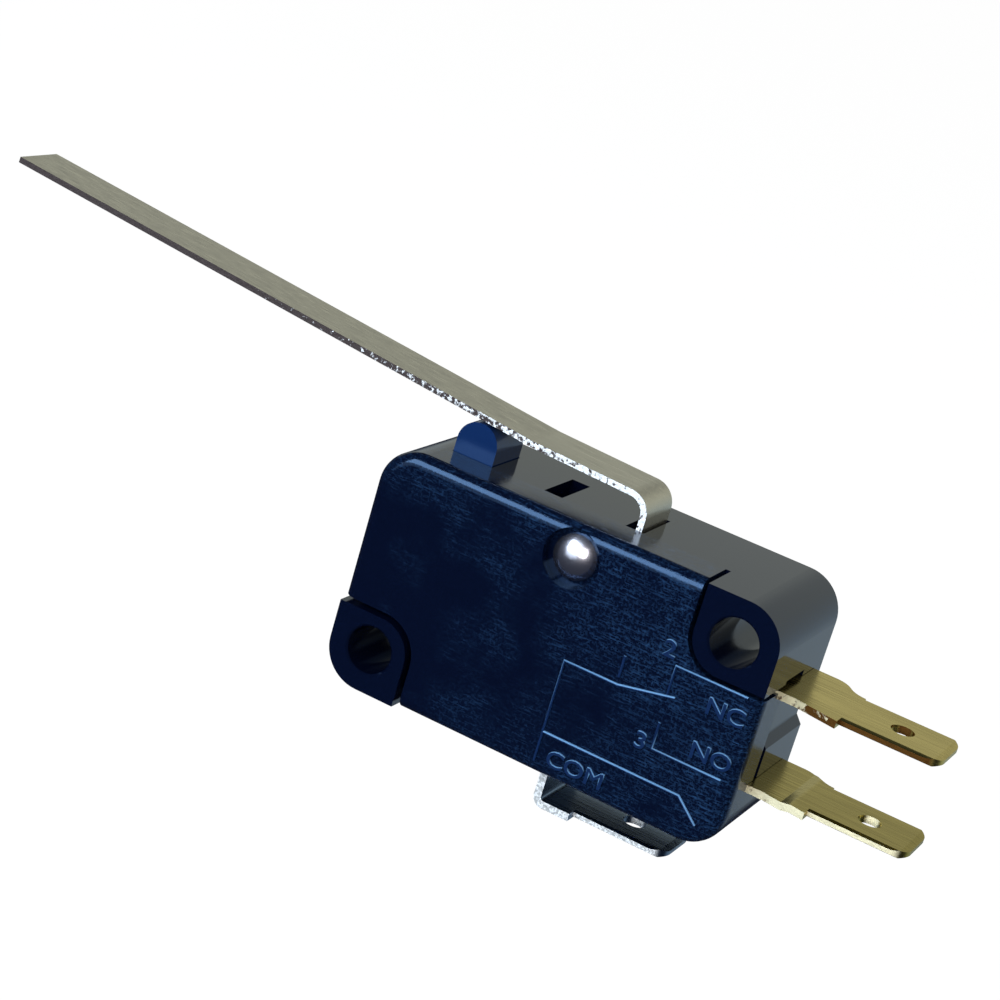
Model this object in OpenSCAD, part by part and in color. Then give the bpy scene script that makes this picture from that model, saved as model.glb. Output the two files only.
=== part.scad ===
// Miniature snap-action switch, one change-over contact, long hinge lever, blade terminals.
// Millimetres. +X points to the two blades on the end, +Z to the plunger, -Y is the cover side.
// The origin is half way between the two mounting holes, at mid thickness.

/* [Housing] */
// Length of the housing
body_l = 27.8; // [27.4:0.1:29]
// Height of the housing
body_h = 15.9; // [15.6:0.1:16.6]
// Thickness over the two mounting bosses
body_t = 10.3; // [10:0.1:11]
// Corner radius of the outline
corner_r = 2.6; // [2.2:0.1:2.8]
// Thickness of the outer walls
wall = 1.2; // [1:0.05:1.3]
// Thickness of the case wall behind the mechanism
back_wall = 1.5; // [1.2:0.1:1.6]
// Inner corner radius of the walls
inner_r = 1.1; // [0.9:0.1:1.2]
// Distance of the mounting holes from the ends of the housing
hole_end = 2.8; // [2.7:0.05:2.9]
// Distance of the mounting holes from the top and the bottom
hole_side = 2.8; // [2.75:0.05:2.85]
// Diameter of the mounting holes
hole_d = 3.1; // [3:0.05:3.3]
// Edge break round the mounting holes
hole_break = 0.12; // [0.05:0.01:0.2]

/* [Cover] */
// Depth of the cover from its face to the parting line
cover_depth = 3.37; // [3.2:0.01:3.6]
// Height of the mounting bosses above the cover face
boss_proud = 0.18; // [0.05:0.01:0.3]
// Thickness of the cover face
cover_face = 1.15; // [1:0.05:1.3]
// Radius of the rounded front edge of the cover
cover_round = 0.8; // [0.5:0.05:0.9]
// Reach of a boss from its hole along the housing
boss_w = 2.55; // [2.4:0.05:2.7]
// Reach of a boss from its hole across the housing
boss_h = 2.35; // [2.25:0.05:2.4]
// Inner corner radius of a boss
boss_r = 2.2; // [1.8:0.05:2.25]
// Gap between a boss and the cover
boss_gap = 0.35; // [0.2:0.05:0.45]
// Wall of the cover along its two cut-out corners
cut_wall = 0.9; // [0.7:0.05:1]

/* [Rivet] */
// Distance of the rivet from the end with the blades
rivet_end = 14; // [13.7:0.1:14.3]
// Distance of the rivet from the top
rivet_side = 2.15; // [2.05:0.05:2.25]
// Diameter of the rivet head
rivet_head_d = 2.9; // [2.6:0.1:3.1]
// Diameter of the rivet shank
rivet_d = 1.6; // [1.4:0.1:1.8]
// Diameter of the recess round the rivet head
recess_d = 3.8; // [3.5:0.1:4]
// Depth of the recess round the rivet head
recess_depth = 0.75; // [0.6:0.05:0.85]
// Height of the rivet head
rivet_head_h = 0.9; // [0.7:0.05:0.9]

/* [Plunger] */
// Distance of the plunger's middle from the far end
plunger_end = 4.4; // [4.3:0.1:4.7]
// Width of the plunger along the housing
plunger_w = 2.8; // [2.6:0.1:3]
// Depth of the plunger from the parting line
plunger_depth = 3.8; // [3.6:0.1:4]
// Height of the plunger top above the housing
plunger_rise = 2.35; // [2.3:0.05:2.5]
// Full travel of the plunger
plunger_travel = 2.2; // [1.8:0.1:2.2]
// Thickness of the flange that keeps the plunger in
flange_t = 1; // [0.8:0.1:1.2]
// Reach of the flange past the plunger on each side
flange_reach = 0.4; // [0.3:0.05:0.5]
// Running clearance round the plunger
plunger_clear = 0.07; // [0.05:0.01:0.1]

/* [Lever] */
// Thickness of the lever strip
lever_t = 0.4; // [0.3:0.05:0.45]
// Width of the lever strip
lever_w = 4; // [3.6:0.1:4]
// Distance of the lever foot's outer face from the end with the blades
lever_end = 11.44; // [11.3:0.02:11.6]
// Height of the lever above the housing at its bend
lever_rise = 2.2; // [2.1:0.05:2.4]
// Slope of the first stretch of the lever
lever_slope = 2.6; // [2:0.1:3]
// Length of the first stretch of the lever
lever_first = 7; // [6:0.5:8]
// Slope of the long stretch of the lever
lever_slope_far = 5.87; // [5.5:0.01:6.5]
// Length of the long stretch of the lever
lever_far = 41.05; // [30:0.1:45]
// Inner radius of the upper bend
lever_bend = 1.05; // [0.8:0.05:1.2]
// Inner radius of the bend that the lever turns on
pivot_bend = 0.2; // [0.15:0.05:0.3]
// Length of the toe under the top wall
toe_l = 1.3; // [1:0.1:1.5]
// Width of each lever slot along the housing
slot_w = 1.27; // [1.2:0.01:1.35]
// Distance from the lever slot to the spare one
slot_pitch = 5.7; // [5.5:0.05:5.9]
// Side clearance of the lever in its slot
lever_clear = 0.1; // [0.08:0.01:0.15]

/* [Terminals] */
// Width of a blade
tab_w = 4.75; // [4.6:0.05:4.8]
// Length of a blade from its shoulder
tab_l = 6.35; // [6:0.05:6.6]
// Thickness of the terminal strip
tab_t = 0.5; // [0.45:0.05:0.5]
// Corner radius at the tip of a blade
tab_tip_r = 1.2; // [0.8:0.1:1.5]
// Bevel along the edges of a blade
tab_bevel = 0.11; // [0.08:0.01:0.14]
// Diameter of the hole in a blade
tab_hole_d = 1.5; // [1.3:0.1:1.8]
// Distance from the hole to the tip of a blade
tab_hole_tip = 3.15; // [2.9:0.05:3.4]
// Length of the wide root outside the housing
root_l = 3.95; // [3.6:0.05:4.5]
// Distance of the upper blade from the top of the housing
nc_drop = 5.6; // [5.55:0.05:5.65]
// Height of the lower blade over the bottom of the housing
no_rise = 4.2; // [4.05:0.05:4.35]
// Drop of the lower terminal at its root
root_drop = 0.17; // [0.12:0.01:0.25]
// Drop of the bottom blade below the housing
com_drop = 2.5; // [2.3:0.1:2.8]
// Width of the bottom terminal outside the housing
com_w = 6.3; // [6:0.1:6.4]
// Distance of the bottom terminal's leg from the end with the blades
com_end = 11.95; // [11.8:0.05:12.1]
// Distance from the leg to the shoulder of the bottom blade
com_root = 2.1; // [1.8:0.1:2.4]
// Clearance of the terminals in their slots
slot_clear = 0.04; // [0.03:0.01:0.08]

/* [Contacts] */
// Distance of the contacts from the end with the blades
contact_end = 5.5; // [5.3:0.1:5.7]
// Diameter of the contact heads
contact_d = 2.9; // [2.6:0.1:3]
// Diameter of the contact shanks
contact_shank = 1.4; // [1.2:0.1:1.6]
// Height of a fixed contact head
contact_head = 0.85; // [0.8:0.05:0.95]
// Height of each head of the moving contact
moving_head = 0.5; // [0.45:0.05:0.6]
// Gap that the moving contact crosses
contact_gap = 0.6; // [0.5:0.05:0.7]
// Space left at the closed contact
contact_touch = 0.04; // [0.02:0.01:0.06]
// Thickness of the snap spring
spring_t = 0.15; // [0.12:0.01:0.18]
// Width of the snap spring and of the strips inside
spring_w = 3.4; // [3:0.1:3.6]
// Width of the tongue cut out of the snap spring
tongue_w = 1.6; // [1.3:0.1:1.8]

/* [Hidden] */
$fn = 64;
far = 40;
eps = 0.01;
x_end = body_l / 2;
z_top = body_h / 2;
y_front = -body_t / 2;
y_back = body_t / 2;
y_cover = y_front + boss_proud;
y_part = y_cover + cover_depth;
y_floor = y_back - back_wall;
y_pocket = y_cover + cover_face;
hole_x = x_end - hole_end;
hole_z = z_top - hole_side;
z_in = z_top - wall;
x_in = x_end - wall;
// The case stands under half of the cover's cut-out wall, so the joint there is closed
seal = boss_gap + cut_wall / 2;
// Underside of the corner block over the upper terminal
z_block = hole_z - boss_h - seal;
// Places along the housing and across it, all taken from its ends, top and bottom
rivet_x = x_end - rivet_end;
rivet_z = z_top - rivet_side;
plunger_x = plunger_end - x_end;
lever_x = x_end - lever_end;
nc_z = z_top - nc_drop;
no_z = no_rise - z_top;
com_x = x_end - com_end;
contact_x = x_end - contact_end;
// Rivet: play round its shank, wall of the pillar it passes through, rim of its recess
rivet_play = 0.05;
pillar_wall = 0.75;
recess_rim = 0.4;
head_edge = 0.2;
tail_h = 0.6;
// End wall: taller stretch of the upper slot, open joint between the blades, relief below
step_h = 0.4;
step_l = 3.1;
joint_gap = 0.6;
relief_depth = 0.45;
relief_h = 3.2;
relief_foot = 0.55;
// Inward length of a blade slot past the wall, and of the way for the upper strip's step
slot_in = 0.4;
step_room = 2.2;
// Mechanism: the strips inside share one middle
mech_y = y_part + 1.95;
spring_y = mech_y - spring_w / 2;
// Lever
lever_y = y_part + lever_clear / 2;
pivot_r = pivot_bend + lever_t;
pivot_gap = 0.05;
toe_gap = 0.13;
// Room cut over and under the toe, and the block under the bend
toe_room = 0.3;
toe_pocket = 1.2;
saddle_h = 1.6;
// Space between the lever foot and the near edge of its slot
foot_gap = 0.19;
pivot_x = lever_x + pivot_bend;
pivot_z = z_in - toe_gap + pivot_bend;
bend_in = lever_bend + lever_t / 2;
// Height of the foot's straight stretch, from the pivot bend to the upper bend
foot_l = z_top + lever_rise - pivot_z
    - (lever_bend + lever_t) * (1 - sin(lever_slope)) / cos(lever_slope);
slot_x = lever_x + foot_gap - slot_w / 2;
spare_slot_x = slot_x - slot_pitch;
// Radius of the slight bend between the two stretches of the lever
set_r = 3;
slot_back = lever_y + lever_w + lever_clear;
// Plunger
plunger_y = y_part + plunger_clear;
plunger_top = z_top + plunger_rise;
flange_top = z_in - 0.05;
nose_r = 0.8;
nose_gap = 0.06;
// Flange and nose end short of the case wall behind them
flange_back = 0.4;
// Rib that guides the flange over its travel
guide_gap = 0.15;
guide_h = flange_t + plunger_travel + 1.2;
// Bottom terminal, inside the housing
com_z = -z_top - com_drop;
com_mid = com_x - tab_t / 2;
com_run_rise = 1.35;
com_run_z = com_run_rise - z_in;
com_bend = 0.25;
com_step_gap = 1.75;
com_step_x = -hole_x + boss_w + seal + com_step_gap;
com_shelf = -z_block + slot_clear + tab_t / 2;
// Depth that the wide part of the leg reaches into the housing
com_wide_in = 0.5;
// Ribs under the run of the bottom terminal, and their distance from its two bends
com_foot_gap = 2.3;
com_feet = [com_step_x + com_foot_gap, com_x - com_foot_gap];
anchor_gap = 0.7;
anchor_x = anchor_gap - x_in;
anchor_h = 3.8;
anchor_z = anchor_h - z_block;
// Snap spring: straight rails down to a level pad that carries the moving contact
nc_strip_gap = 0.55;
nc_strip_z = z_block - nc_strip_gap;
no_strip_z = nc_strip_z - tab_t - 2 * contact_head - 2 * moving_head - spring_t
    - contact_gap - 2 * contact_touch;
pad_z = nc_strip_z - tab_t / 2 - contact_head - contact_touch - moving_head - spring_t / 2;
pad_reach = 2.3;
pad_x = contact_x - pad_reach;
pad_l = 4;
pad_r = 1;
hook_gap = 0.1;
hook_x = anchor_x - tab_t / 2 - hook_gap - spring_t / 2;
hook_r = 0.2;
hook_l = 0.5;
rail_top = anchor_z + hook_gap + spring_t / 2;
rail_a = atan2(rail_top - pad_z, pad_x - hook_x);
// Length of a rail between its bends, and the height of its middle at x
rail_l = (rail_top - pad_z - (hook_r + pad_r) * (1 - cos(rail_a))) / sin(rail_a);
function rail_z(x) = rail_top - hook_r * (1 - cos(rail_a))
    - (x - hook_x - hook_r * (1 + sin(rail_a))) * tan(rail_a);
press_z = rail_z(plunger_x) + spring_t / 2;
// Tongue: gap beside it, its root, its end on the bottom terminal and its rise
tongue_gap = 0.25;
tongue_back = 1.4;
tongue_x = pad_x - tongue_back;
tongue_end_gap = 0.05;
tongue_end_drop = 0.7;
tongue_end_x = com_step_x + tab_t / 2 + tongue_end_gap;
tongue_end_z = com_shelf - tongue_end_drop;
tongue_sag = 2.1;
// Fixed contacts: play in the strip and the riveted end
shank_play = 0.02;
rivet_end_t = 0.22;
rivet_end_d = contact_shank + 0.5;
// Edges of the wide root of an end terminal, measured from the middle of its blade
root_front = tab_w / 2 + 0.075;
root_back = y_floor - 0.05;
shoulder_front = tab_w / 2 + 0.675;
root_inner = x_in - 0.3;
// Length of the sweep from the wide root to the blade, and of the taper on the other edge
sweep_l = 2.4;
taper_l = 2.85;
// Lower blade: level stretch before the small step, and the step's bends
step_from = 0.9;
step_a = 15;
step_r = 0.6;
// Steps of the strips inside
joggle_a = 35;
joggle_r = 0.5;
// Level stretch of an end terminal inside the outer face of the end wall
entry_l = 1.4;
// Inner end of the two strips with the fixed contacts
strip_end = contact_x - contact_d / 2 - 0.4;
// Space round a strip that a case rib locates
rib_clear = 0.05;
rib_t = 0.8;

// Stands a flat outline drawn in X and Z across the housing, from y to y + depth
module across(y, depth) {
    translate([0, y + depth, 0]) rotate([90, 0, 0]) linear_extrude(depth) children();
}

// Part of a ring, from angle 0 to a, used at the bends of a strip
module ring_part(r, t, a) {
    reach = 2 * (r + t);
    intersection() {
        difference() {
            circle(r + t / 2);
            circle(r - t / 2);
        }
        polygon([[0, 0], [reach, 0], [reach, reach * tan(a / 2)],
            [reach * cos(a), reach * sin(a)]]);
    }
}

// A folded strip seen from the side: each step is [length] or [bend radius, angle to the left]
module strip(steps, t, i = 0) {
    if (i < len(steps)) {
        s = steps[i];
        if (len(s) == 1) {
            translate([0, -t / 2]) square([s[0], t]);
            translate([s[0], 0]) strip(steps, t, i + 1);
        } else if (s[1] > 0) {
            translate([0, s[0]]) rotate(-90) ring_part(s[0], t, s[1]);
            translate([0, s[0]]) rotate(s[1]) translate([0, -s[0]]) strip(steps, t, i + 1);
        } else {
            mirror([0, 1]) translate([0, s[0]]) rotate(-90) ring_part(s[0], t, -s[1]);
            translate([0, -s[0]]) rotate(s[1]) translate([0, s[0]]) strip(steps, t, i + 1);
        }
    }
}

// Steps that offset a strip sideways by h, and the length that they take up
function joggle(h, a = joggle_a, r = joggle_r) =
    let (side = sign(h), run = (abs(h) - 2 * r * (1 - cos(a))) / sin(a))
    [[r, side * a], [run], [r, -side * a]];
function joggle_l(h, a = joggle_a, r = joggle_r) =
    2 * r * sin(a) + (abs(h) - 2 * r * (1 - cos(a))) / tan(a);

// Rounded outline of the housing, drawn in by inset
module body_2d(inset = 0, r = corner_r) {
    x = x_end - inset;
    z = z_top - inset;
    translate([-x, -z + r]) square([2 * x, 2 * (z - r)]);
    translate([-x + r, -z]) square([2 * (x - r), 2 * z]);
    for (sx = [-1, 1], sz = [-1, 1])
        translate([sx * (x - r), sz * (z - r)]) circle(r);
}

// Ground taken by the mounting boss in the corner over the blades, grown outward by g
module boss_2d(g = 0) {
    r = boss_r + g;
    translate([hole_x - boss_w - g, hole_z - boss_h - g]) {
        translate([r, 0]) square([far, far]);
        translate([0, r]) square([far, far]);
        translate([r, r]) circle(r);
    }
}

module both_bosses_2d(g = 0) {
    boss_2d(g);
    rotate(180) boss_2d(g);
}

// The two mounting holes, with their broken edges
module mounting_holes() {
    for (s = [-1, 1]) translate([s * hole_x, 0, s * hole_z]) rotate([90, 0, 0]) {
        cylinder(d = hole_d, h = 2 * body_t, center = true);
        for (e = [0, 1]) mirror([0, 0, e]) translate([0, 0, body_t / 2 - hole_break])
            cylinder(d1 = hole_d, d2 = hole_d + 4 * hole_break, h = 2 * hole_break);
    }
}

// Slot of a blade terminal through the end wall from y0 to y1, its strip level with z
module blade_slot(z, y0, y1, over = 0) {
    translate([x_in - slot_in, y0, z - tab_t / 2 - slot_clear])
        cube([far, y1 - y0, tab_t + 2 * slot_clear + over]);
}

module case_ribs() {
    depth = y_floor - y_part;
    across(y_part, depth) {
        // Pillar that the rivet passes through
        translate([rivet_x, rivet_z]) circle(rivet_d / 2 + pillar_wall);
        // Saddle under the bend that the lever turns on
        translate([slot_x - slot_w / 2 - rib_t, z_in - saddle_h])
            square([pivot_x - slot_x + slot_w / 2 + rib_t, saddle_h + eps]);
        // Feet under the run of the bottom terminal
        for (x = com_feet) translate([x, -z_in - eps])
            square([rib_t, com_run_z - tab_t / 2 - rib_clear + z_in + eps]);
        // Post under the inner end of the lower fixed contact
        translate([strip_end, -z_in - eps])
            square([rib_t, no_strip_z - tab_t / 2 - rib_clear + z_in + eps]);
        // Guide beside the plunger flange
        translate([plunger_x + plunger_w / 2 + flange_reach + guide_gap, z_in - guide_h])
            square([rib_t, guide_h + eps]);
    }
}

module case_base() {
    color([0.05, 0.06, 0.12]) difference() {
        union() {
            difference() {
                across(y_part, y_back - y_part) body_2d();
                // Room for the mechanism
                across(y_part - 1, y_floor - y_part + 1) difference() {
                    body_2d(wall, inner_r);
                    both_bosses_2d(seal);
                }
            }
            across(y_front, y_part - y_front) intersection() {
                body_2d();
                both_bosses_2d();
            }
            case_ribs();
        }
        mounting_holes();
        // Seat that the lever bend turns in, and room for the toe to rise
        across(y_part - 1, slot_back - y_part + 1) {
            intersection() {
                translate([pivot_x, pivot_z]) circle(pivot_r + pivot_gap);
                translate([-far / 2, z_in - far]) square([far, far]);
            }
            translate([pivot_x, z_in - toe_pocket]) square([toe_l + toe_room, toe_pocket + toe_room]);
        }
        // Slots for the lever, here and further along, and the opening for the plunger
        for (x = [slot_x, spare_slot_x]) translate([x - slot_w / 2, y_part - 1, z_in - eps])
            cube([slot_w, slot_back - y_part + 1, wall + 1]);
        translate([plunger_x - plunger_w / 2 - plunger_clear, y_part - 1, z_in - 1])
            cube([plunger_w + 2 * plunger_clear, plunger_depth + 2 * plunger_clear + 1, wall + 2]);
        // Slots for the terminals and the gap between the two on the end
        blade_slot(nc_z, y_part - 1, y_floor);
        blade_slot(nc_z, y_part, y_part + step_l, step_h);
        blade_slot(no_z - root_drop, y_part - 1, y_floor);
        // Way through the corner block for the step in the upper strip
        translate([x_in - step_room, y_part, z_block - eps])
            cube([step_room, y_floor - y_part, nc_z + tab_t / 2 + slot_clear - z_block + eps]);
        translate([x_in - eps, y_part - 1, no_z]) cube([wall + 1, joint_gap + 1, nc_z - no_z]);
        translate([com_x - tab_t - slot_clear, y_part - 1, -z_top - 1])
            cube([tab_t + 2 * slot_clear, com_w / 2 + slot_clear - y_part + 1, wall + 2]);
        // Relief in the end wall under the upper blade
        across(y_part + joint_gap, y_back - y_part) translate([x_end, nc_z - tab_t / 2 - slot_clear])
            polygon([[1, 0], [-relief_depth, 0], [-relief_depth, -relief_h],
                [0, -relief_h - relief_foot], [1, -relief_h - relief_foot]]);
        // Bore and rear sink for the rivet
        translate([rivet_x, 0, rivet_z]) rotate([90, 0, 0])
            cylinder(r = rivet_d / 2 + rivet_play, h = 2 * body_t, center = true);
        translate([rivet_x, y_back - recess_depth, rivet_z]) rotate([-90, 0, 0])
            cylinder(d = recess_d, h = recess_depth + 1);
    }
}

// Block of the cover's outer size whose front edge is rounded all the way round
module cover_blank() {
    r = cover_round;
    c = corner_r;
    d = cover_depth;
    module edge(reach) {
        difference() {
            square([reach, d]);
            translate([reach - r, d - r]) difference() {
                square([r + 1, r + 1]);
                circle(r);
            }
        }
    }
    translate([0, y_part, 0]) rotate([90, 0, 0]) {
        for (sx = [0, 1], sz = [0, 1]) mirror([sx, 0, 0]) mirror([0, sz, 0])
            translate([x_end - c, z_top - c, 0]) rotate_extrude(angle = 90) edge(c);
        for (s = [0, 1]) mirror([s, 0, 0]) translate([x_end - c, z_top - c, 0]) rotate([90, 0, 0])
            linear_extrude(2 * (z_top - c)) edge(c);
        for (s = [0, 1]) mirror([0, s, 0]) translate([-x_end + c, 0, 0]) rotate([90, 0, 90])
            linear_extrude(2 * (x_end - c)) edge(z_top);
    }
}

module cover() {
    color([0.05, 0.07, 0.14]) difference() {
        union() {
            difference() {
                cover_blank();
                // Two corners left open for the mounting bosses
                across(y_cover - 1, cover_depth + 2) both_bosses_2d(boss_gap);
                across(y_pocket, cover_depth) difference() {
                    body_2d(wall, inner_r);
                    both_bosses_2d(boss_gap + cut_wall);
                }
            }
            across(y_pocket - eps, y_part - y_pocket + eps) intersection() {
                translate([rivet_x, rivet_z]) circle(recess_d / 2 + recess_rim);
                body_2d(wall / 2, inner_r);
            }
        }
        // Notches for the front of the three terminals
        for (z = [nc_z, no_z - root_drop])
            blade_slot(z, -root_front - slot_clear, y_part + 1);
        translate([com_x - tab_t - slot_clear, -com_w / 2 - slot_clear, -z_top - 1])
            cube([tab_t + 2 * slot_clear, com_w, wall + 2]);
        translate([rivet_x, 0, rivet_z]) rotate([90, 0, 0])
            cylinder(r = rivet_d / 2 + rivet_play, h = 2 * body_t, center = true);
        translate([rivet_x, y_cover - 1, rivet_z]) rotate([-90, 0, 0])
            cylinder(d = recess_d, h = recess_depth + 1);
    }
}

// Domed head in the cover recess, shank through both halves, rolled end in the rear sink
module cover_rivet() {
    rise = rivet_head_h - head_edge;
    sphere_r = (pow(rivet_head_d / 2, 2) + pow(rise, 2)) / (2 * rise);
    seat = y_cover + recess_depth;
    rear = y_back - recess_depth;
    color([0.85, 0.85, 0.88]) translate([rivet_x, seat, rivet_z]) rotate([90, 0, 0]) {
        intersection() {
            cylinder(d = rivet_head_d, h = rivet_head_h);
            translate([0, 0, rivet_head_h - sphere_r]) sphere(sphere_r);
        }
        translate([0, 0, seat - rear]) cylinder(d = rivet_d, h = rear - seat);
        translate([0, 0, seat - rear]) mirror([0, 0, 1]) difference() {
            cylinder(d1 = rivet_head_d, d2 = rivet_d + 0.4, h = tail_h);
            translate([0, 0, head_edge]) cylinder(d = rivet_d - 0.5, h = tail_h);
        }
    }
}

// Guided block with a round top, a flange that keeps it in and a nose on the spring
module plunger() {
    mid = plunger_top - plunger_w / 2;
    color([0.06, 0.08, 0.17]) {
        across(plunger_y, plunger_depth) translate([plunger_x, 0]) {
            translate([0, mid]) circle(plunger_w / 2);
            translate([-plunger_w / 2, flange_top - eps])
                square([plunger_w, mid - flange_top + eps]);
        }
        across(plunger_y, plunger_depth - flange_back) translate([plunger_x, 0]) {
            translate([-plunger_w / 2 - flange_reach, flange_top - flange_t])
                square([plunger_w + 2 * flange_reach, flange_t]);
            translate([-nose_r, press_z + nose_gap + nose_r])
                square([2 * nose_r, flange_top - flange_t - press_z - nose_gap - nose_r + eps]);
            translate([0, press_z + nose_gap + nose_r]) circle(nose_r);
        }
    }
}

// One folded strip: toe and round bend in the housing, foot, upper bend and long arm
module hinge_lever() {
    color([0.72, 0.71, 0.66]) across(lever_y, lever_w)
        translate([pivot_x + toe_l, pivot_z - pivot_bend - lever_t / 2]) mirror([1, 0])
            strip([[toe_l], [pivot_bend + lever_t / 2, 90], [foot_l], [bend_in, -90 + lever_slope],
                [lever_first], [set_r, lever_slope_far - lever_slope], [lever_far]], lever_t);
}

// Standard blade: its shoulder at x = 0, tip along +X, level with z = 0
module tab() {
    r = tab_tip_r;
    w = tab_w / 2;
    h = tab_t / 2;
    b = tab_bevel;
    difference() {
        intersection() {
            translate([0, 0, -h]) linear_extrude(tab_t) {
                translate([-eps, -w]) square([tab_l - r + eps, 2 * w]);
                translate([0, -w + r]) square([tab_l, 2 * (w - r)]);
                for (s = [-1, 1]) translate([tab_l - r, s * (w - r)]) circle(r);
            }
            translate([-1, 0, 0]) rotate([90, 0, 90]) linear_extrude(tab_l + 2)
                polygon([[-w, h - b], [-w + 2 * b, h], [w - 2 * b, h], [w, h - b],
                    [w, b - h], [w - 2 * b, -h], [2 * b - w, -h], [-w, b - h]]);
            across(-w - 1, tab_w + 2) polygon([[-1, -h], [tab_l - 4 * b, -h], [tab_l, b - h],
                [tab_l, h - b], [tab_l - 4 * b, h], [-1, h]]);
        }
        translate([tab_l - tab_hole_tip, 0, -1]) cylinder(d = tab_hole_d, h = 2);
    }
}

// Outline of an end terminal from above, from its shoulder inwards
module root_2d() {
    x1 = x_end + root_l;
    x0 = x1 - sweep_l;
    yl = tab_w / 2;
    rise = root_back - yl;
    r = (pow(x1 - x0, 2) + pow(rise, 2)) / (4 * rise);
    polygon([[x1, 0], [x1, -shoulder_front], [x1 - taper_l, -root_front],
        [root_inner, -root_front], [root_inner, spring_y], [strip_end, spring_y],
        [strip_end, spring_y + spring_w], [root_inner, spring_y + spring_w],
        [root_inner, root_back], [x0, root_back], [x0, 0]]);
    // Back edge that sweeps in to the blade in two tangent arcs
    intersection() {
        union() {
            translate([x0, root_back - r]) circle(r);
            translate([x0, 0]) square([x1 - x0, root_back - r]);
        }
        translate([x0 - eps, 0]) square([(x1 - x0) / 2 + eps, far]);
    }
    difference() {
        translate([(x0 + x1) / 2, 0]) square([(x1 - x0) / 2, yl + rise / 2]);
        translate([x1, yl + r]) circle(r);
    }
}

// An end terminal: blade at height z, root stepped by drop, inner strip at height inner_z
module end_terminal(z, drop, inner_z) {
    x1 = x_end + root_l;
    step = inner_z - z + drop;
    outer = root_l - joggle_l(drop, step_a, step_r) - step_from;
    steps = drop == 0 ? [[root_l]]
        : concat([[step_from]], joggle(-drop, step_a, step_r), [[outer]]);
    last = x_end - entry_l - strip_end - joggle_l(step);
    color([0.78, 0.69, 0.36]) {
        translate([x1, 0, z]) tab();
        difference() {
            intersection() {
                across(-far / 2, far) translate([x1, z]) mirror([1, 0])
                    strip(concat(steps, [[entry_l]], joggle(step), [[last]]), tab_t);
                translate([0, 0, -far / 2]) linear_extrude(far) root_2d();
            }
            translate([contact_x, mech_y, inner_z])
                cylinder(r = contact_shank / 2 + shank_play, h = 2, center = true);
        }
    }
}

module nc_terminal() {
    end_terminal(nc_z, 0, nc_strip_z);
}

module no_terminal() {
    end_terminal(no_z, root_drop, no_strip_z);
}

// Fixed contact riveted through a strip at height z, its head on the side s
module fixed_contact(z, s) {
    color([0.86, 0.86, 0.84]) translate([contact_x, mech_y, z]) mirror([0, 0, s > 0 ? 0 : 1]) {
        translate([0, 0, tab_t / 2]) cylinder(d = contact_d, h = contact_head);
        translate([0, 0, -tab_t / 2 - eps]) cylinder(d = contact_shank, h = tab_t + 2 * eps);
        translate([0, 0, -tab_t / 2 - rivet_end_t]) cylinder(d = rivet_end_d, h = rivet_end_t);
    }
}

module nc_contact() {
    fixed_contact(nc_strip_z, -1);
}

module no_contact() {
    fixed_contact(no_strip_z, 1);
}

module moving_contact() {
    color([0.86, 0.86, 0.84]) translate([contact_x, mech_y, pad_z]) {
        for (s = [0, 1]) mirror([0, 0, s]) translate([0, 0, spring_t / 2])
            cylinder(d = contact_d, h = moving_head);
        cylinder(d = contact_shank, h = spring_t + 2 * eps, center = true);
    }
}

// Bottom terminal: blade, bend, leg into the housing, and the frame that carries the spring
module com_terminal() {
    b = com_bend + tab_t / 2;
    leg = com_run_z - com_z - 2 * b;
    run = com_mid - com_step_x - 2 * b;
    post = com_shelf - com_run_z - 2 * b;
    shelf = com_step_x - anchor_x - 2 * b;
    up = anchor_z - com_shelf - b;
    color([0.74, 0.72, 0.68]) {
        translate([com_x + com_root, 0, com_z]) tab();
        intersection() {
            across(-far / 2, far) translate([com_x + com_root, com_z]) mirror([1, 0])
                strip([[com_root + tab_t / 2 - b], [b, 90], [leg], [b, -90], [run], [b, 90],
                    [post], [b, -90], [shelf], [b, 90], [up]], tab_t);
            union() {
                translate([-far / 2, -com_w / 2, -far - z_in + com_wide_in]) cube([far, com_w, far]);
                translate([-far / 2, spring_y, -z_in]) cube([far, spring_w, far]);
            }
        }
    }
}

// One blade: hooked end, two rails, curved tongue that pushes on the frame, contact pad
module snap_spring() {
    root_z = rail_z(tongue_x);
    chord = norm([tongue_x - tongue_end_x, root_z - tongue_end_z]);
    arc_r = (pow(chord / 2, 2) + pow(tongue_sag, 2)) / (2 * tongue_sag);
    half = asin(chord / 2 / arc_r);
    lean = atan2(root_z - tongue_end_z, tongue_x - tongue_end_x);
    window_x = plunger_x + nose_r + 0.6;
    color([0.76, 0.5, 0.3]) {
        difference() {
            across(spring_y, spring_w) {
                translate([hook_x, rail_top - hook_r - hook_l]) rotate(90)
                    strip([[hook_l], [hook_r, -90 - rail_a], [rail_l], [pad_r, rail_a], [pad_l]], spring_t);
            }
            translate([window_x, mech_y - tongue_w / 2 - tongue_gap, -far / 2])
                cube([tongue_x - window_x, tongue_w + 2 * tongue_gap, far]);
            translate([contact_x, mech_y, pad_z])
                cylinder(r = contact_shank / 2 + shank_play, h = 2, center = true);
        }
        across(mech_y - tongue_w / 2, tongue_w) translate([tongue_x, root_z]) rotate(180 + lean)
            rotate(half) strip([[arc_r, -2 * half]], spring_t);
    }
}

case_base();
cover();
cover_rivet();
plunger();
hinge_lever();
com_terminal();
nc_terminal();
no_terminal();
nc_contact();
no_contact();
moving_contact();
snap_spring();
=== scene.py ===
"""Lever micro switch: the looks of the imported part, its floor, lights and camera."""
import math

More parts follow.
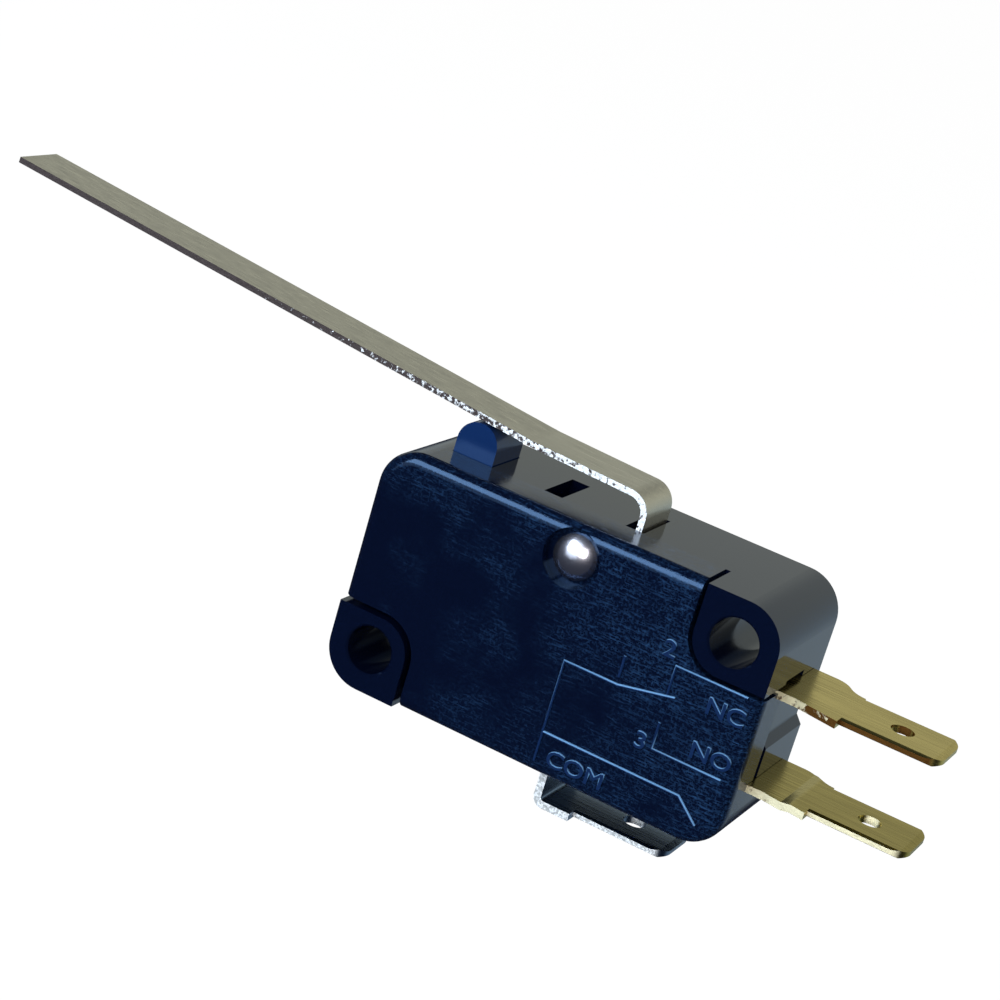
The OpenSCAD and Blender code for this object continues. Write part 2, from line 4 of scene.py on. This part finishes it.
import bpy
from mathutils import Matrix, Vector


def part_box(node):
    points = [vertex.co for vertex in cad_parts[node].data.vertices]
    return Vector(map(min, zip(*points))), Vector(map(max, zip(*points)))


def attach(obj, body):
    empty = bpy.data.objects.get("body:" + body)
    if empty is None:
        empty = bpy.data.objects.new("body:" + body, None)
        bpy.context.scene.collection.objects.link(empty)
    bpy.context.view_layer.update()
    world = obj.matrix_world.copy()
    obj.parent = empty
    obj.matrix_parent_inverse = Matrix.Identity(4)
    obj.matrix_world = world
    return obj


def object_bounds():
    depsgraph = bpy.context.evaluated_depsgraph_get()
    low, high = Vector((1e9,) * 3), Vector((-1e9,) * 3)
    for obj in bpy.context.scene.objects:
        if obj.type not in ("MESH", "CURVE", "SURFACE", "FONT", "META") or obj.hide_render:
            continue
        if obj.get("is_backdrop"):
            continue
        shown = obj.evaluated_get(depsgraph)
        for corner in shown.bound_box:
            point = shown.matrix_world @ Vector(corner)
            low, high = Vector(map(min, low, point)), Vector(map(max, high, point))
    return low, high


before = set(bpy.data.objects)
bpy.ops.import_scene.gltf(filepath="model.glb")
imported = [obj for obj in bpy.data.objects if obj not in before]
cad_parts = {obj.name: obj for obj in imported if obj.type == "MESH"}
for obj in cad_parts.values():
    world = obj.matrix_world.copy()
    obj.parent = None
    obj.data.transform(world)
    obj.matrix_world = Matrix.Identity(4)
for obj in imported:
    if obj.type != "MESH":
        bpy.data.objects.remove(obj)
cad_low, cad_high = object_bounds()
MM = 0.001


# ---------------------------------------------------------------- moulded case and cover
# The case and its cover are moulded in black phenolic with a blue cast, in a polished mould.
# The cover, held by one rivet, has fine lengthwise handling marks and dull patches; their lighter
# blue colour is partly a painted sheen.

def linear(code):
    """An sRGB hex colour as linear RGBA."""
    parts = [int(code[i:i + 2], 16) / 255 for i in (1, 3, 5)]
    return (*[c / 12.92 if c <= 0.04045 else ((c + 0.055) / 1.055) ** 2.4 for c in parts], 1.0)


def add(tree, kind, links=None, **settings):
    """Adds a node. links maps its sockets to values or to other nodes' outputs."""
    made = tree.nodes.new(kind)
    for name, value in settings.items():
        setattr(made, name, value)
    for socket, value in (links or {}).items():
        if isinstance(value, bpy.types.NodeSocket):
            tree.links.new(value, made.inputs[socket])
        else:
            made.inputs[socket].default_value = value
    return made


def start_material(name):
    """An empty material, its tree and its output node."""
    made = bpy.data.materials.new(name)
    made.use_nodes = True
    made.node_tree.nodes.clear()
    return made, made.node_tree, add(made.node_tree, "ShaderNodeOutputMaterial")


def dress(node, made):
    """Gives a piece its material."""
    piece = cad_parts[node]
    piece.data.materials.clear()
    piece.data.materials.append(made)


PHENOLIC = "#030718"
PHENOLIC_WEAR_AND_SHEEN = "#223f62"
PHENOLIC_SHEEN = "#a4cdff"


def moulded_phenolic(name, marks, base=PHENOLIC, rough=0.1):
    """Black phenolic: dark body, clear gloss. marks: strength of handling marks and their painted
    sheen.
    """
    made, tree, out = start_material(name)
    place = add(tree, "ShaderNodeTexCoord").outputs["Object"]
    # Moulded skin, a ripple 0.4 mm long
    skin = add(tree, "ShaderNodeTexNoise", {
        "Vector": place, "Scale": 1 / (0.4 * MM), "Detail": 2.0})
    # Handling marks up to 1 mm long and 0.07 mm wide, running along the housing
    lay = add(tree, "ShaderNodeMapping", {
        "Vector": place, "Rotation": (0, math.radians(5), 0),
        "Scale": (1 / (0.9 * MM), 1 / (0.3 * MM), 1 / (0.1 * MM))})
    streak = add(tree, "ShaderNodeTexNoise", {
        "Vector": lay.outputs[0], "Scale": 1.0, "Detail": 4.0, "Roughness": 0.7})
    thin = add(tree, "ShaderNodeMapRange", {
        "Value": streak.outputs["Fac"], "From Min": 0.52, "From Max": 0.8, "To Max": 0.8})
    # Between them the face is mottled, in spots of 0.2 mm
    mottle = add(tree, "ShaderNodeTexNoise", {
        "Vector": place, "Scale": 1 / (0.2 * MM), "Detail": 4.0, "Roughness": 0.75})
    dull = add(tree, "ShaderNodeMapRange", {
        "Value": mottle.outputs["Fac"], "From Min": 0.48, "From Max": 0.8, "To Max": 0.6})
    both = add(tree, "ShaderNodeMath", {0: thin.outputs[0], 1: dull.outputs[0]}, operation="ADD")
    # Both lie in patches about 5 mm across, more of them towards the blades
    patch = add(tree, "ShaderNodeTexNoise", {
        "Vector": place, "Scale": 1 / (5 * MM), "Detail": 3.0})
    spot = add(tree, "ShaderNodeSeparateXYZ", {"Vector": place})
    lean = add(tree, "ShaderNodeMapRange", {
        "Value": spot.outputs["X"], "From Min": -8 * MM, "From Max": 12 * MM,
        "To Min": -0.1, "To Max": 0.18})
    patchy = add(tree, "ShaderNodeMath", {
        0: patch.outputs["Fac"], 1: lean.outputs[0]}, operation="ADD")
    # and, as a painted sheen, more of them along the top edge
    top_edge_sheen = add(tree, "ShaderNodeMapRange", {
        "Value": spot.outputs["Z"], "From Min": 4.5 * MM, "From Max": 7.5 * MM, "To Max": 0.2})
    patchy = add(tree, "ShaderNodeMath", {
        0: patchy.outputs[0], 1: top_edge_sheen.outputs[0]}, operation="ADD")
    where = add(tree, "ShaderNodeMapRange", {
        "Value": patchy.outputs[0], "From Min": 0.38, "From Max": 0.75})
    wear_and_sheen = add(tree, "ShaderNodeMath", {
        0: both.outputs[0], 1: where.outputs[0]}, operation="MULTIPLY")
    wear_and_sheen = add(tree, "ShaderNodeMath", {0: wear_and_sheen.outputs[0], 1: marks}, operation="MULTIPLY")
    # Marks and mottle are painted a lighter blue: partly wear, partly a painted sheen
    tone = add(tree, "ShaderNodeMix", {
        "Factor": wear_and_sheen.outputs[0], "A": linear(base),
        "B": linear(PHENOLIC_WEAR_AND_SHEEN)}, data_type="RGBA")
    fine = add(tree, "ShaderNodeBump", {
        "Strength": 0.06, "Distance": 0.02 * MM, "Height": skin.outputs["Fac"]})
    cut = add(tree, "ShaderNodeBump", {
        "Strength": 0.3 * marks, "Distance": 0.02 * MM, "Height": wear_and_sheen.outputs[0],
        "Normal": fine.outputs[0]})
    body = add(tree, "ShaderNodeBsdfPrincipled", {
        "Base Color": tone.outputs["Result"], "Roughness": rough, "IOR": 1.5,
        "Specular Tint": linear(PHENOLIC_SHEEN), "Normal": cut.outputs[0]})
    tree.links.new(body.outputs[0], out.inputs[0])
    return made


dress("case_base", moulded_phenolic("polished black phenolic", 0.0))
dress("cover", moulded_phenolic("handled black phenolic with painted sheen", 1.0))

# Moulded edges aren't knife sharp: a small round along every sharp edge catches the light
EDGE_ROUND = 0.06 * MM
EDGE_ANGLE = 50
for node in ("case_base", "cover"):
    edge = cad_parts[node].modifiers.new("moulded edge", "BEVEL")
    edge.width, edge.segments = EDGE_ROUND, 2
    edge.limit_method, edge.angle_limit = "ANGLE", math.radians(EDGE_ANGLE)


# ---------------------------------------------------------------- circuit symbol and marks
# Raised lines moulded on the cover: the change-over contact's symbol, and beside it the
# terminals' usual marks. They are part of the cover's own plastic.

cover_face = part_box("cover")[0].y
LINE_W = 0.2 * MM
LINE_H = 0.12 * MM
SYMBOL = [
    [(1.45, -7.1), (1.45, -0.3), (5.1, -0.3), (8.75, 0.45)],
    [(1.45, -5.12), (10.8, -5.12), (12.3, -6.45)],
    [(5.0, 0.2), (5.0, 1.6)],
    [(8.2, 0.5), (8.2, 2.35), (12.95, 2.35)],
    [(8.3, -1.35), (8.3, -3.1), (12.95, -3.1)],
]


def swept_lines(name, lines, made):
    """Flat-topped ridges along lines drawn in X and Z on the cover face."""
    mesh = bpy.data.meshes.new(name)
    points, edges = [], []
    for line in lines:
        edges += [(len(points) + i, len(points) + i + 1) for i in range(len(line) - 1)]
        points += [(x * MM, cover_face, z * MM) for x, z in line]
    mesh.from_pydata(points, edges, [])
    piece = bpy.data.objects.new(name, mesh)
    bpy.context.collection.objects.link(piece)
    tree = bpy.data.node_groups.new(name, "GeometryNodeTree")
    tree.interface.new_socket("Geometry", in_out="INPUT", socket_type="NodeSocketGeometry")
    width = tree.interface.new_socket("Width", in_out="INPUT", socket_type="NodeSocketFloat")
    height = tree.interface.new_socket("Height", in_out="INPUT", socket_type="NodeSocketFloat")
    tree.interface.new_socket("Geometry", in_out="OUTPUT", socket_type="NodeSocketGeometry")
    given = add(tree, "NodeGroupInput")
    radius = add(tree, "ShaderNodeMath", {0: given.outputs["Width"], 1: 0.5}, operation="MULTIPLY")
    path = add(tree, "GeometryNodeMeshToCurve", {0: given.outputs[0]})
    ring = add(tree, "GeometryNodeCurvePrimitiveCircle", {
        "Resolution": 12, "Radius": radius.outputs[0]})
    ridge = add(tree, "GeometryNodeCurveToMesh", {
        0: path.outputs[0], 1: ring.outputs[0], "Fill Caps": True})
    # The round sweep is pressed flat towards the cover face
    squeeze = add(tree, "ShaderNodeMath", {
        0: given.outputs["Height"], 1: radius.outputs[0]}, operation="DIVIDE")
    scale = add(tree, "ShaderNodeCombineXYZ", {0: 1.0, 1: squeeze.outputs[0], 2: 1.0})
    down = add(tree, "GeometryNodeTransform", {
        0: ridge.outputs[0], "Translation": (0, -cover_face, 0)})
    flat = add(tree, "GeometryNodeTransform", {0: down.outputs[0], "Scale": scale.outputs[0]})
    back = add(tree, "GeometryNodeTransform", {
        0: flat.outputs[0], "Translation": (0, cover_face, 0)})
    real = add(tree, "GeometryNodeRealizeInstances", {0: back.outputs[0]})
    painted = add(tree, "GeometryNodeSetMaterial", {0: real.outputs[0], "Material": made})
    tree.links.new(painted.outputs[0], add(tree, "NodeGroupOutput").inputs[0])
    sweep = piece.modifiers.new("sweep", "NODES")
    sweep.node_group = tree
    sweep[width.identifier] = LINE_W
    sweep[height.identifier] = LINE_H
    depsgraph = bpy.context.evaluated_depsgraph_get()
    done = bpy.data.meshes.new_from_object(piece.evaluated_get(depsgraph))
    piece.modifiers.remove(sweep)
    piece.data = done
    return piece


# Raised phenolic: the edges that face up are painted paler, a painted highlight
raised, tree, out = start_material("raised phenolic with painted top highlight")
facing = add(tree, "ShaderNodeSeparateXYZ", {
    "Vector": add(tree, "ShaderNodeTexCoord").outputs["Normal"]}).outputs["Z"]
painted_top_highlight = add(tree, "ShaderNodeMapRange", {"Value": facing, "From Min": 0.15, "From Max": 0.6})
tone = add(tree, "ShaderNodeMix", {
    "Factor": painted_top_highlight.outputs[0], "A": linear("#0a1c3c"), "B": linear("#5a81a6")}, data_type="RGBA")
body = add(tree, "ShaderNodeBsdfPrincipled", {
    "Base Color": tone.outputs["Result"], "Roughness": 0.25, "IOR": 1.5,
    "Specular Tint": linear(PHENOLIC_SHEEN)})
tree.links.new(body.outputs[0], out.inputs[0])

symbol = swept_lines("circuit_symbol", SYMBOL, raised)
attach(symbol, "housing")

MARKS = {
    "NC": (10.65, 0.45), "NO": (10.55, -2.5), "COM": (2.15, -7.0),
    "2": (7.1, 2.7), "3": (7.1, -3.4)}
MARK_SIZE = 1.5 * MM
MARK_STRETCH = 1.15
MARK_BEVEL = 0.3
for word, (x, z) in MARKS.items():
    letters = bpy.data.curves.new("mark " + word, "FONT")
    letters.body = word
    letters.size = MARK_SIZE
    letters.extrude = LINE_H * (1 - MARK_BEVEL)
    letters.bevel_depth = LINE_H * MARK_BEVEL
    letters.resolution_u = 4
    piece = bpy.data.objects.new("mark_" + word.lower(), letters)
    bpy.context.collection.objects.link(piece)
    bpy.context.view_layer.update()
    depsgraph = bpy.context.evaluated_depsgraph_get()
    mesh = bpy.data.meshes.new_from_object(piece.evaluated_get(depsgraph))
    bpy.data.objects.remove(piece)
    # The letters are drawn lying down: they stand up on the cover face
    for v in mesh.vertices:
        along, up, off = v.co
        v.co = (x * MM + along * MARK_STRETCH, cover_face - off, z * MM + up)
    mesh.materials.clear()
    mesh.materials.append(raised)
    piece = bpy.data.objects.new("mark_" + word.lower(), mesh)
    bpy.context.collection.objects.link(piece)
    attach(piece, "housing")


# ---------------------------------------------------------------- plunger
# A small moulded push button of the same plastic, with a polished round top.

dress("plunger", moulded_phenolic("plunger phenolic", 0.0, "#092047", 0.18))


# ---------------------------------------------------------------- lever
# Stainless strip, rolled and folded. Rolling leaves fine lengthwise lines on its faces,
# and its long edges are cut by shearing, so they are rougher and catch the light; their pale
# colour is partly a painted highlight.


def rolled_metal(name, colour, rough, line_mm, grain=0.3, edge_and_highlight=None, fleck=None, torn_mm=0.2,
                 edge_highlight_along_x=(0, 1, 0, 0)):
    """Metal strip with rolling lines along X. sheared: colour of its edges, partly a painted
    highlight,
    fleck: their spots, cleaner: two places on X in mm, and at each of them how far the edge turns
    from flecks to the pale painted-highlight colour, -0.3 to 0.3."""
    made, tree, out = start_material(name)
    place = add(tree, "ShaderNodeTexCoord")
    lines_place = add(tree, "ShaderNodeMapping", {
        "Vector": place.outputs["Object"],
        "Scale": (1 / (6 * MM), 1 / (line_mm * MM), 1 / (line_mm * MM))})
    lines = add(tree, "ShaderNodeTexNoise", {
        "Vector": lines_place.outputs[0], "Scale": 1.0, "Detail": 4.0, "Roughness": 0.65})
    shade = add(tree, "ShaderNodeMapRange", {
        "Value": lines.outputs["Fac"], "From Min": 0.3, "From Max": 0.7,
        "To Min": rough - 0.08, "To Max": rough + 0.12})
    relief = add(tree, "ShaderNodeBump", {
        "Strength": grain, "Distance": 0.01 * MM, "Height": lines.outputs["Fac"]})
    tone = linear(colour)
    body = add(tree, "ShaderNodeBsdfPrincipled", {
        "Base Color": tone, "Metallic": 1.0, "Roughness": shade.outputs[0],
        "Normal": relief.outputs[0]})
    if edge_and_highlight:
        # Sheared edge: torn grains, rough, with darker flecks; its pale colour is partly a painted
        # highlight
        facing = add(tree, "ShaderNodeSeparateXYZ", {
            "Vector": place.outputs["Normal"]}).outputs["Y"]
        side = add(tree, "ShaderNodeMath", {0: facing}, operation="ABSOLUTE")
        edge = add(tree, "ShaderNodeMapRange", {
            "Value": side.outputs[0], "From Min": 0.7, "From Max": 0.9})
        torn = add(tree, "ShaderNodeTexNoise", {
            "Vector": place.outputs["Object"], "Scale": 1 / (torn_mm * MM),
            "Detail": 3.0, "Roughness": 0.6})
        x = add(tree, "ShaderNodeSeparateXYZ", {"Vector": place.outputs["Object"]}).outputs["X"]
        # How far the edge goes from flecks to its pale colour, a painted highlight, changes along X
        highlight_along_x = add(tree, "ShaderNodeMapRange", {
            "Value": x, "From Min": edge_highlight_along_x[0] * MM, "From Max": edge_highlight_along_x[1] * MM,
            "To Min": edge_highlight_along_x[2], "To Max": edge_highlight_along_x[3]})
        flecks_or_highlight = add(tree, "ShaderNodeMath", {
            0: torn.outputs["Fac"], 1: highlight_along_x.outputs[0]}, operation="ADD")
        spot = add(tree, "ShaderNodeMapRange", {
            "Value": flecks_or_highlight.outputs[0], "From Min": 0.46, "From Max": 0.56})
        edge_tone_with_highlight = add(tree, "ShaderNodeMix", {
            "Factor": spot.outputs[0], "A": linear(fleck),
            "B": linear(edge_and_highlight)}, data_type="RGBA")
        mix = add(tree, "ShaderNodeMix", {
            "Factor": edge.outputs[0], "A": tone,
            "B": edge_tone_with_highlight.outputs["Result"]}, data_type="RGBA")
        tree.links.new(mix.outputs["Result"], body.inputs["Base Color"])
        rougher = add(tree, "ShaderNodeMix", {
            "Factor": edge.outputs[0], "A": shade.outputs[0], "B": 0.75})
        tree.links.new(rougher.outputs[0], body.inputs["Roughness"])
        tear = add(tree, "ShaderNodeBump", {
            "Strength": edge.outputs[0], "Distance": 0.06 * MM, "Height": torn.outputs["Fac"],
            "Normal": relief.outputs[0]})
        tree.links.new(tear.outputs[0], body.inputs["Normal"])
    tree.links.new(body.outputs[0], out.inputs[0])
    return made


# The lever's edge is painted white as a highlight, most towards the bend, with brown flecks towards
# the tip
dress("hinge_lever", rolled_metal(
    "rolled stainless steel", "#cac5b4", 0.32, 0.12, 0.3,
    "#ffffff", "#5d5352", 0.25, (-30, 3, -0.25, 0.15)))


# ---------------------------------------------------------------- terminals
# Stamped and folded strip, pressed into slots: plain rolled brass for the two on the end,
# nickel-plated brass for the bottom one, its blue-grey partly a painted reflection of the blue
# case. Their edges are cut by shearing and painted paler, partly as a highlight.

dress("nc_terminal", rolled_metal(
    "rolled brass", "#cdb965", 0.25, 0.15, 0.1, "#f6ecca", "#6e4a22", 0.6, (14, 19, 0.16, -0.3)))
dress("no_terminal", rolled_metal(
    "rolled brass of the lower blade", "#b1a04e", 0.25, 0.15, 0.1,
    "#fff6d6", "#8f6b38", 0.6, (13, 16, 0.05, 0.25)))
# Nickel grey tinted blue: the blue is a painted reflection of the dark blue case
dress("com_terminal", rolled_metal(
    "nickel-plated brass with painted blue reflection", "#657b94", 0.22, 0.2, 0.15, "#ffffff", "#d8d8d6"))


# ---------------------------------------------------------------- rivet
# Steel rivet with bright nickel plate. Its head is domed and polished by the setting tool.

made, tree, out = start_material("bright nickel plate")
place = add(tree, "ShaderNodeTexCoord").outputs["Object"]
dents = add(tree, "ShaderNodeTexNoise", {"Vector": place, "Scale": 1 / (0.8 * MM), "Detail": 2.0})
relief = add(tree, "ShaderNodeBump", {
    "Strength": 0.2, "Distance": 0.03 * MM, "Height": dents.outputs["Fac"]})
body = add(tree, "ShaderNodeBsdfPrincipled", {
    "Base Color": linear("#e6e1ea"), "Metallic": 1.0, "Roughness": 0.26, "Normal": relief.outputs[0]})
tree.links.new(body.outputs[0], out.inputs[0])
dress("cover_rivet", made)


# ---------------------------------------------------------------- contacts and snap spring
# Inside: silver-alloy contacts, turned and riveted, and a rolled copper-alloy spring.

made, tree, out = start_material("silver alloy")
body = add(tree, "ShaderNodeBsdfPrincipled", {
    "Base Color": linear("#e4e3de"), "Metallic": 1.0, "Roughness": 0.25})
tree.links.new(body.outputs[0], out.inputs[0])
for node in ("nc_contact", "no_contact", "moving_contact"):
    dress(node, made)
dress("snap_spring", rolled_metal("rolled spring copper", "#c98f62", 0.3, 0.1, 0.2))


# ---------------------------------------------------------------- floor, light and camera
# A pale floor well below the switch. Two soft boxes stand in front to the left and one on
# the camera's side. Metal and gloss mirror a room that is pale low behind, else dark blue.

FLOOR_DROP = 60 * MM
FLOOR_SIZE = 20.0
FLOOR_GLOW = 1.06
FLOOR_GLOW_SHARE = 0.9
bpy.ops.mesh.primitive_plane_add(size=FLOOR_SIZE, location=(0, 0, cad_low.z - FLOOR_DROP))
floor = bpy.context.object
floor.name = "floor"
made, tree, out = start_material("pale paper floor")
seen = add(tree, "ShaderNodeLightPath").outputs["Is Camera Ray"]
paper = add(tree, "ShaderNodeBsdfDiffuse", {"Color": linear("#f2f2f0")})
glow = add(tree, "ShaderNodeEmission", {"Color": (1, 1, 1, 1), "Strength": FLOOR_GLOW})
share = add(tree, "ShaderNodeMath", {0: seen, 1: FLOOR_GLOW_SHARE}, operation="MULTIPLY")
both = add(tree, "ShaderNodeMixShader", {
    0: share.outputs[0], 1: paper.outputs[0], 2: glow.outputs[0]})
tree.links.new(both.outputs[0], out.inputs[0])
floor.data.materials.append(made)
floor.visible_glossy = False
floor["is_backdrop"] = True

world = bpy.data.worlds.new("studio")
bpy.context.scene.world = world
world.use_nodes = True
tree = world.node_tree
tree.nodes.clear()
out = add(tree, "ShaderNodeOutputWorld")
way = add(tree, "ShaderNodeSeparateXYZ", {
    "Vector": add(tree, "ShaderNodeTexCoord").outputs["Generated"]})
back = add(tree, "ShaderNodeMapRange", {
    "Value": way.outputs["Y"], "From Min": 0.1, "From Max": 0.6}, interpolation_type="SMOOTHSTEP")
low = add(tree, "ShaderNodeMapRange", {
    "Value": way.outputs["Z"], "From Min": 0.6, "From Max": 0.38}, interpolation_type="SMOOTHSTEP")
# The pale backdrop ends along a slant at the left
slant = add(tree, "ShaderNodeMath", {
    0: way.outputs["X"], 1: 0.6, 2: way.outputs["Z"]}, operation="MULTIPLY_ADD")
right = add(tree, "ShaderNodeMapRange", {
    "Value": slant.outputs[0], "From Min": -0.42, "From Max": -0.2}, interpolation_type="SMOOTHSTEP")
pale = add(tree, "ShaderNodeMath", {0: back.outputs[0], 1: low.outputs[0]}, operation="MULTIPLY")
pale = add(tree, "ShaderNodeMath", {0: pale.outputs[0], 1: right.outputs[0]}, operation="MULTIPLY")
height = add(tree, "ShaderNodeMapRange", {
    "Value": way.outputs["Z"], "From Min": -0.2, "From Max": 0.3})
backdrop = add(tree, "ShaderNodeMix", {
    "Factor": height.outputs[0], "A": linear("#a6b6bf"), "B": linear("#c8cbc0")}, data_type="RGBA")
room = add(tree, "ShaderNodeMix", {
    "Factor": pale.outputs[0], "A": linear("#2b303c"),
    "B": backdrop.outputs["Result"]}, data_type="RGBA")
# Gloss mirrors the room, the camera sees white, and the rest is lit by an even grey
rays = add(tree, "ShaderNodeLightPath")
plain = add(tree, "ShaderNodeMath", {
    0: rays.outputs["Is Camera Ray"], 1: rays.outputs["Is Transmission Ray"]}, operation="MAXIMUM")
level = add(tree, "ShaderNodeMix", {
    "Factor": rays.outputs["Is Glossy Ray"], "A": linear("#a8a8a8"),
    "B": room.outputs["Result"]}, data_type="RGBA")
shown = add(tree, "ShaderNodeMix", {
    "Factor": plain.outputs[0], "A": level.outputs["Result"],
    "B": (1, 1, 1, 1)}, data_type="RGBA")
light = add(tree, "ShaderNodeBackground", {"Color": shown.outputs["Result"], "Strength": 1.0})
tree.links.new(light.outputs[0], out.inputs[0])


def soft_box(name, place, width, height, power, colour):
    """A rectangular area lamp at place, turned towards the switch."""
    lamp = bpy.data.lights.new(name, "AREA")
    lamp.shape = "RECTANGLE"
    lamp.size, lamp.size_y, lamp.energy, lamp.color = width, height, power, linear(colour)[:3]
    box = bpy.data.objects.new(name, lamp)
    box.location = place
    box.rotation_euler = (-Vector(place)).to_track_quat("-Z", "Y").to_euler()
    bpy.context.collection.objects.link(box)


soft_box("front soft box", (-0.215, -0.48, 0.28), 0.44, 0.36, 4.2, "#dceeff")
soft_box("low front soft box", (-0.21, -0.55, 0.01), 0.5, 0.18, 0.35, "#dceeff")
soft_box("camera-side soft box", (0.2, -0.55, 0.22), 0.3, 0.3, 2.0, "#ffffff")

CAMERA_PLACE = (48.61 * MM, -137.71 * MM, 54.06 * MM)
CAMERA_TURN = (71.249, -15.694, 27.446)
CAMERA_LENS = 90.22
CAMERA_SENSOR = 36
lens = bpy.data.cameras.new("camera")
lens.lens = CAMERA_LENS
lens.sensor_width = CAMERA_SENSOR
lens.clip_start, lens.clip_end = 0.01, 10
camera = bpy.data.objects.new("camera", lens)
camera.location = CAMERA_PLACE
camera.rotation_euler = [math.radians(a) for a in CAMERA_TURN]
bpy.context.collection.objects.link(camera)
bpy.context.scene.camera = camera
bpy.context.scene.view_settings.view_transform = "Standard"

low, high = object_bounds()
